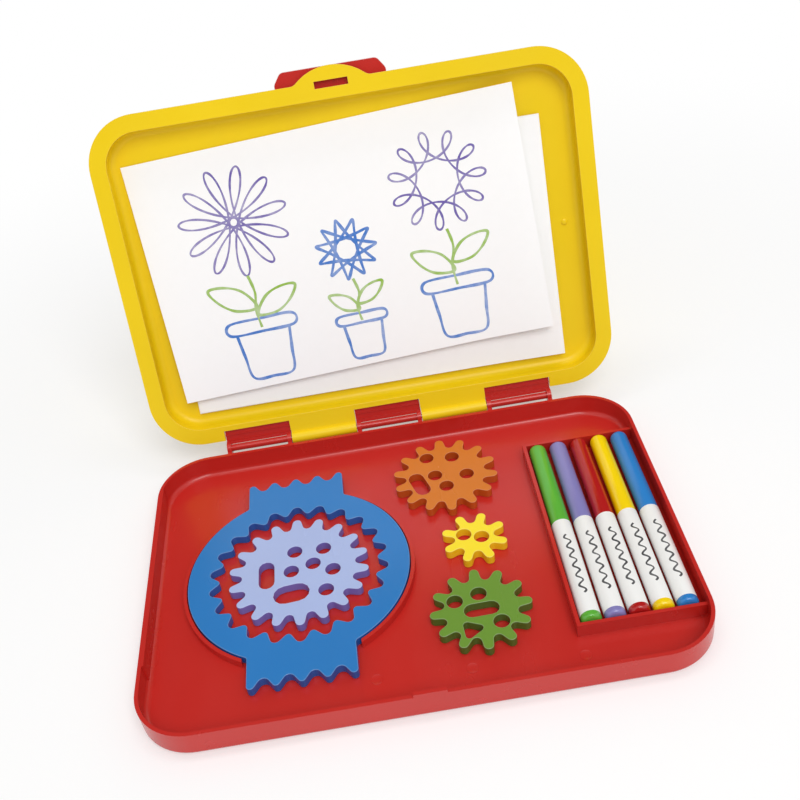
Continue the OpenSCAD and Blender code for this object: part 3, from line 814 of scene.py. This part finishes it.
# Pile: share that leans, from which y and how far at most, and share that curls, from which x and over what
PILE_LEAN = 1.1
LEAN_FROM = -70
LEAN_MOST = 1.1
PILE_CURL = 0.7
CURL_FROM = 50
CURL_SPAN = 80
# Drawing sheet on the pile: share that leans, and share that curls, from which u and over what
TOP_LEAN = 0.8
TOP_CURL = 0.55
TOP_CURL_FROM = 40
TOP_CURL_SPAN = 88


def ease(value):
    """Smooth step from 0 to 1."""
    value = min(max(value, 0), 1)
    return value * value * (3 - 2 * value)


def curl_at(x, y):
    """Share of the curl at a point of the lid's floor, in mm: the pile leans out and its right curls."""
    lean = min(max((y - LEAN_FROM) / SHEET_D, 0), LEAN_MOST)
    right = ease((x - CURL_FROM) / CURL_SPAN)
    return PILE_LEAN * lean + PILE_CURL * right * right


def sheet_point(u, v):
    """Point of the shut lid's floor under a place on the sheet, u to the right and v up as it is read."""
    turn = math.radians(SHEET_TURN)
    x = SHEET_PLACE[0] + u * math.cos(turn) + v * math.sin(turn)
    y = SHEET_PLACE[1] + u * math.sin(turn) - v * math.cos(turn)
    return x, y


def sheet_height(u, v, look):
    """How far the drawing sheet stands off its flat place, in mm."""
    x, y = sheet_point(u, v)
    lean = TOP_LEAN * (SHEET_D / 2 - v) / SHEET_D
    right = ease((u - TOP_CURL_FROM) / TOP_CURL_SPAN)
    return (curl_at(x, y) * look.curl + (lean + TOP_CURL * right * right) * look.lift) / MM


class MakePaper(bpy.types.Operator):
    """Lay the drawing sheet and the spare sheets in the lid"""

    bl_idname = "drawing_toy.paper"
    bl_label = "Paper"

    def execute(self, context):
        look = context.scene.toy_paper
        curl = look.curl / MM
        paper = finish_of("drawing paper", "paper fibre", look.paper, {"Cloud": 0.25}, (0.15, 0.00003))

        def on_drawing(u, v):
            x, y = sheet_point(u, v)
            return x, y, SHEET_FACE - sheet_height(u, v, look)

        sheet = self.sheet("top_sheet", [on_drawing], SHEET_T)
        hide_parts("drawing_sheet")
        settle(sheet, "drawing_sheet", paper)

        def on_pile(layer, shift, turn):
            def place(u, v):
                x = SPARE_PLACE[0] + u * math.cos(turn) - v * math.sin(turn) + shift[0]
                y = SPARE_PLACE[1] - v * math.cos(turn) - u * math.sin(turn) + shift[1]
                rise = curl_at(x, y) * curl * (1 - SPARE_FLATTER * layer)
                return x, y, SPARE_FACE + SPARE_STEP * layer - rise
            return place

        layers = [on_pile(i, shift, turn) for i, (shift, turn) in enumerate(SPARE_LAYERS)]
        pile = self.sheet("spare_pile", layers, SPARE_T)
        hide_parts("spare_sheets")
        settle(pile, "spare_sheets", paper)
        return {"FINISHED"}

    def sheet(self, name, places, thickness):
        """One or more sheets of paper, each bent by its own place function, with crisp edges."""
        opening = lid_opening()
        backward = opening.to_3x3() @ Vector((0, 0, thickness * MM))
        bm = bmesh.new()
        for place in places:
            across, along = SHEET_CELLS
            made = bmesh.ops.create_grid(bm, x_segments=across, y_segments=along, size=0.5)
            for vert in made["verts"]:
                x, y, z = place(vert.co.x * SHEET_W, vert.co.y * SHEET_D)
                vert.co = opening @ (Vector((x, y, z)) * MM)
        made = bmesh.ops.extrude_face_region(bm, geom=bm.faces[:], use_keep_orig=True)
        bmesh.ops.translate(bm, verts=verts_in(made), vec=backward)
        bmesh.ops.recalc_face_normals(bm, faces=bm.faces)
        shade_soft(bm, math.radians(40))
        return piece_from(bm, name)


# Drawing on the top sheet

# Teeth of the ring that the flowers are drawn with
RING_TEETH = 22
# Width of the green and the blue lines as a share of the violet ones
GREEN_WIDER = 1.3
BLUE_WIDER = 1.4


def hypotrochoid(teeth, wheel, pen, radius, points):
    """Pattern of a wheel that rolls inside a toothed ring, scaled to a radius in mm."""
    turns = wheel // math.gcd(teeth, wheel)
    arm = teeth - wheel
    scale = radius / (arm + pen)
    path = []
    for i in range(points):
        t = math.tau * turns * i / points
        x = arm * math.cos(t) + pen * math.cos(arm / wheel * t)
        y = arm * math.sin(t) - pen * math.sin(arm / wheel * t)
        path.append((x * scale, y * scale))
    return path


def moved(path, u, v, turn=0):
    """Path turned by an angle in degrees and moved to a place on the sheet."""
    c, s = math.cos(math.radians(turn)), math.sin(math.radians(turn))
    return [(u + x * c - y * s, v + x * s + y * c) for x, y in path]


def freehand(knots, points=60, closed=False):
    """Smooth hand-drawn line through a few knots."""
    count = len(knots)
    spans = count if closed else count - 1
    path = []
    for i in range(points + (0 if closed else 1)):
        at = i / points * spans
        k = min(int(at), spans - 1)
        t = at - k
        if closed:
            p = [knots[(k + j) % count] for j in (-1, 0, 1, 2)]
        else:
            p = [knots[min(max(k + j, 0), count - 1)] for j in (-1, 0, 1, 2)]
        path.append(tuple(
            0.5 * (2 * p[1][d] + (p[2][d] - p[0][d]) * t
                   + (2 * p[0][d] - 5 * p[1][d] + 4 * p[2][d] - p[3][d]) * t * t
                   + (3 * p[1][d] - p[0][d] - 3 * p[2][d] + p[3][d]) * t ** 3)
            for d in (0, 1)
        ))
    return path


def leaf(u, v, size, turn):
    """Leaf outline that starts at its stalk."""
    half = [(0, 0), (0.35, 0.2), (0.72, 0.17), (1, 0)]
    other = [(0.72, -0.17), (0.35, -0.2)]
    shape = [(x * size, y * size) for x, y in half + other]
    return freehand(moved(shape, u, v, turn), 70, True)


def pot(u, v, width, height):
    """Flower pot drawn in two strokes, its rim and its bowl."""
    rim = [(-0.6, 0.5), (-0.6, 0.74), (0, 0.76), (0.6, 0.74), (0.6, 0.5), (0, 0.48)]
    bowl = [(-0.5, 0.48), (-0.45, 0), (-0.38, -0.48), (0, -0.52), (0.38, -0.48), (0.45, 0), (0.5, 0.48)]
    scaled = [[(u + x * width, v + y * height) for x, y in stroke] for stroke in (rim, bowl)]
    return [(freehand(scaled[0], 90, True), True), (freehand(scaled[1], 80), False)]


class MakeDrawing(bpy.types.Operator):
    """Draw looped flowers in pots on the top sheet"""

    bl_idname = "drawing_toy.drawing"
    bl_label = "Drawing"

    def execute(self, context):
        look = context.scene.toy_paper
        flowers = [
            (moved(hypotrochoid(RING_TEETH, 14, 9.4, 36, 900), -66, 32, 8), True),
            (moved(hypotrochoid(RING_TEETH, 18, 10, 32, 1000), 70, 30, 0), True),
        ]
        stems = [
            (freehand([(-66, -4), (-64, -16), (-66, -28), (-65, -40)]), False),
            (freehand([(70, -2), (72, -14), (69, -27), (70, -40)]), False),
            (freehand([(2, -21), (4, -31), (1, -40), (2, -50)]), False),
            (leaf(-65, -26, 34, 150), True),
            (leaf(-65, -31, 32, 28), True),
            (leaf(70, -24, 30, 30), True),
            (leaf(70, -30, 31, 148), True),
            (leaf(2, -38, 22, 32), True),
            (leaf(2, -42, 22, 146), True),
        ]
        blue = pot(-65, -58, 36, 32) + pot(70, -58, 36, 32) + pot(2, -63, 26, 24)
        blue.append((moved(hypotrochoid(RING_TEETH, 8, 6.5, 20, 500), 2, -1, 0), True))
        line = look.line / MM
        self.lines("violet_lines", flowers, line, 0.03, look.violet, look)
        self.lines("green_lines", stems, line * GREEN_WIDER, 0.05, look.green, look)
        self.lines("blue_lines", blue, line * BLUE_WIDER, 0.04, look.blue, look)
        return {"FINISHED"}

    def lines(self, name, strokes, width, proud, tone, look):
        """Felt lines of one colour that follow the bent sheet and stand a little proud of it, in mm."""
        opening = lid_opening()

        def on_sheet(u, v, up):
            x, y = sheet_point(u, v)
            z = SHEET_FACE - sheet_height(u, v, look) - proud - up * INK_SHARE
            return opening @ (Vector((x, y, z)) * MM)

        ink = finish_of(name.replace("_lines", " ink"), "felt ink", tone, {"Streaks": 0.45}, (0.2, 0.00002))
        settle(inked(name, strokes, width, on_sheet), "drawing_sheet", ink)


# Studio

# Distances from the middle in metres between which the floor fades to plain white
FADE_NEAR = 0.3
FADE_FAR = 0.8
# Half the width of the floor, in metres
FLOOR_HALF = 4
# Lamps and dark cards, in metres: their place, the point that they look at, and their size
KEY_LAMP = ((0.7, -2.3, 3.2), (0, 0.05, 0.05), (2.4, 2.4))
TOP_LAMP = ((0, 0.5, 3.2), (0, 0.05, 0), (2.6, 0.6))
REAR_FLAG = ((0, 1, 1), (0, 0, 0.4), 4)
FRONT_FLAG = ((0, -1.3, 0.55), (0, 0.2, 0.15), 1.4)


def seen_rays(tree):
    """Mask of the rays that show a surface: camera, glossy and transmission rays."""
    rays = add_node(tree, "ShaderNodeLightPath", -600, 300)
    direct = calc(tree, "MAXIMUM", rays.outputs["Is Camera Ray"], rays.outputs["Is Glossy Ray"], -400, 300)
    return calc(tree, "MAXIMUM", direct, rays.outputs["Is Transmission Ray"], -200, 300)


class MakeStage(bpy.types.Operator):
    """Set the floor, the soft light and the camera"""

    bl_idname = "drawing_toy.stage"
    bl_label = "Stage"

    def execute(self, context):
        look = context.scene.toy_stage
        context.scene.view_settings.view_transform = "Standard"
        self.floor(look)
        self.sky(context, look)
        self.lamp("key softbox", *KEY_LAMP, look.key)
        self.lamp("top strip", *TOP_LAMP, look.top)
        self.flag("rear_flag", *REAR_FLAG)
        self.flag("front_flag", *FRONT_FLAG)
        self.camera(context, look)
        return {"FINISHED"}

    def floor(self, look):
        """Large pale floor that takes the object's shadow and fades to plain white away from it."""
        bm = bmesh.new()
        bmesh.ops.create_grid(bm, x_segments=2, y_segments=2, size=FLOOR_HALF)
        piece = piece_from(bm, "studio_floor")
        material = bpy.data.materials.new("studio floor")
        material.use_nodes = True
        tree = material.node_tree
        surface = tree.nodes["Principled BSDF"]
        surface.inputs["Base Color"].default_value = (*look.floor, 1)
        surface.inputs["Roughness"].default_value = 0.9
        surface.inputs["Specular IOR Level"].default_value = 0
        white = add_node(tree, "ShaderNodeEmission", 0, -300)
        white.inputs["Strength"].default_value = 1
        place = add_node(tree, "ShaderNodeTexCoord", -600, 0)
        distance = add_node(tree, "ShaderNodeVectorMath", -400, 0, operation="LENGTH")
        tree.links.new(place.outputs["Object"], distance.inputs[0])
        fade = add_node(tree, "ShaderNodeMapRange", -200, 0, interpolation_type="SMOOTHSTEP")
        fade.inputs["From Min"].default_value = FADE_NEAR
        fade.inputs["From Max"].default_value = FADE_FAR
        fade.inputs["To Min"].default_value = look.glow
        fade.inputs["To Max"].default_value = 1
        tree.links.new(distance.outputs["Value"], fade.inputs["Value"])
        pick = add_node(tree, "ShaderNodeMixShader", 300, 100)
        shown = calc(tree, "MULTIPLY", seen_rays(tree), fade.outputs["Result"], 100, 300)
        tree.links.new(shown, pick.inputs["Fac"])
        tree.links.new(surface.outputs["BSDF"], pick.inputs[1])
        tree.links.new(white.outputs["Emission"], pick.inputs[2])
        tree.links.new(pick.outputs["Shader"], tree.nodes["Material Output"].inputs["Surface"])
        material.cycles.emission_sampling = "NONE"
        piece.data.materials.append(material)

    def sky(self, context, look):
        """Even light that the camera and reflections see as white."""
        world = bpy.data.worlds.new("studio sky")
        context.scene.world = world
        world.use_nodes = True
        tree = world.node_tree
        ambient = tree.nodes["Background"]
        ambient.inputs["Color"].default_value = (1, 1, 1, 1)
        ambient.inputs["Strength"].default_value = look.sky
        seen = add_node(tree, "ShaderNodeBackground", 0, -200)
        seen.inputs["Color"].default_value = (1, 1, 1, 1)
        seen.inputs["Strength"].default_value = 1
        pick = add_node(tree, "ShaderNodeMixShader", 200, 0)
        tree.links.new(seen_rays(tree), pick.inputs["Fac"])
        tree.links.new(ambient.outputs["Background"], pick.inputs[1])
        tree.links.new(seen.outputs["Background"], pick.inputs[2])
        tree.links.new(pick.outputs["Shader"], tree.nodes["World Output"].inputs["Surface"])

    def flag(self, name, place, aim, size):
        """Dark card that only reflections see, so that gloss doesn't wash the colours out."""
        bm = bmesh.new()
        bmesh.ops.create_grid(bm, x_segments=1, y_segments=1, size=size / 2)
        facing = (Vector(aim) - Vector(place)).to_track_quat("Z", "Y").to_matrix().to_4x4()
        bmesh.ops.transform(bm, matrix=Matrix.Translation(place) @ facing, verts=bm.verts)
        card = piece_from(bm, name)
        material = bpy.data.materials.new(name.replace("_", " "))
        material.use_nodes = True
        surface = material.node_tree.nodes["Principled BSDF"]
        surface.inputs["Base Color"].default_value = (0.03, 0.03, 0.03, 1)
        surface.inputs["Roughness"].default_value = 0.9
        card.data.materials.append(material)
        card.visible_camera = False
        card.visible_diffuse = False
        card.visible_transmission = False
        card.visible_shadow = False

    def lamp(self, name, place, aim, size, watts):
        """Softbox that looks at a point."""
        light = bpy.data.lights.new(name, "AREA")
        light.shape = "RECTANGLE"
        light.size, light.size_y = size
        light.energy = watts
        holder = bpy.data.objects.new(name, light)
        holder.location = place
        holder.rotation_euler = (Vector(aim) - Vector(place)).to_track_quat("-Z", "Y").to_euler()
        bpy.context.collection.objects.link(holder)

    def camera(self, context, look):
        """Camera at the photograph's angle."""
        eye = bpy.data.cameras.new("photo camera")
        eye.sensor_fit = "HORIZONTAL"
        eye.sensor_width = 36
        eye.lens = look.lens
        eye.clip_start = 0.01
        eye.clip_end = 20
        holder = bpy.data.objects.new("photo camera", eye)
        level = Euler((math.pi / 2 - look.tilt, 0, 0)).to_matrix()
        rolled = level @ Matrix.Rotation(-look.roll, 3, "Z")
        holder.matrix_world = Matrix.Translation(look.camera_place) @ rolled.to_4x4()
        context.collection.objects.link(holder)
        context.scene.camera = holder


class ToyPanel(bpy.types.Panel):
    """Steps that dress the toy, in order"""

    bl_label = "Drawing toy"
    bl_idname = "VIEW3D_PT_drawing_toy"
    bl_space_type = "VIEW_3D"
    bl_region_type = "UI"
    bl_category = "Drawing toy"

    def draw(self, context):
        for step in STEPS:
            self.layout.operator(step.bl_idname)
        for group in GROUPS.values():
            look = getattr(context.scene, group)
            for name in look.bl_rna.properties.keys():
                if name not in ("rna_type", "name"):
                    self.layout.prop(look, name)


STEPS = (MakeStage, MakeCase, MakeLid, MakeWheels, MakeMarkers, MakePaper, MakeDrawing)
GROUPS = {
    CaseLook: "toy_case",
    WheelLook: "toy_wheels",
    MarkerLook: "toy_markers",
    PaperLook: "toy_paper",
    StageLook: "toy_stage",
}


def register():
    for group, name in GROUPS.items():
        bpy.utils.register_class(group)
        setattr(bpy.types.Scene, name, PointerProperty(type=group))
    for step in STEPS:
        bpy.utils.register_class(step)
    bpy.utils.register_class(ToyPanel)


def unregister():
    bpy.utils.unregister_class(ToyPanel)
    for step in reversed(STEPS):
        bpy.utils.unregister_class(step)
    for group, name in reversed(GROUPS.items()):
        delattr(bpy.types.Scene, name)
        bpy.utils.unregister_class(group)


def main():
    register()
    bpy.ops.drawing_toy.stage()
    bpy.ops.drawing_toy.case()
    bpy.ops.drawing_toy.lid()
    bpy.ops.drawing_toy.wheels()
    bpy.ops.drawing_toy.markers()
    bpy.ops.drawing_toy.paper()
    bpy.ops.drawing_toy.drawing()


if __name__ == "__main__":
    main()
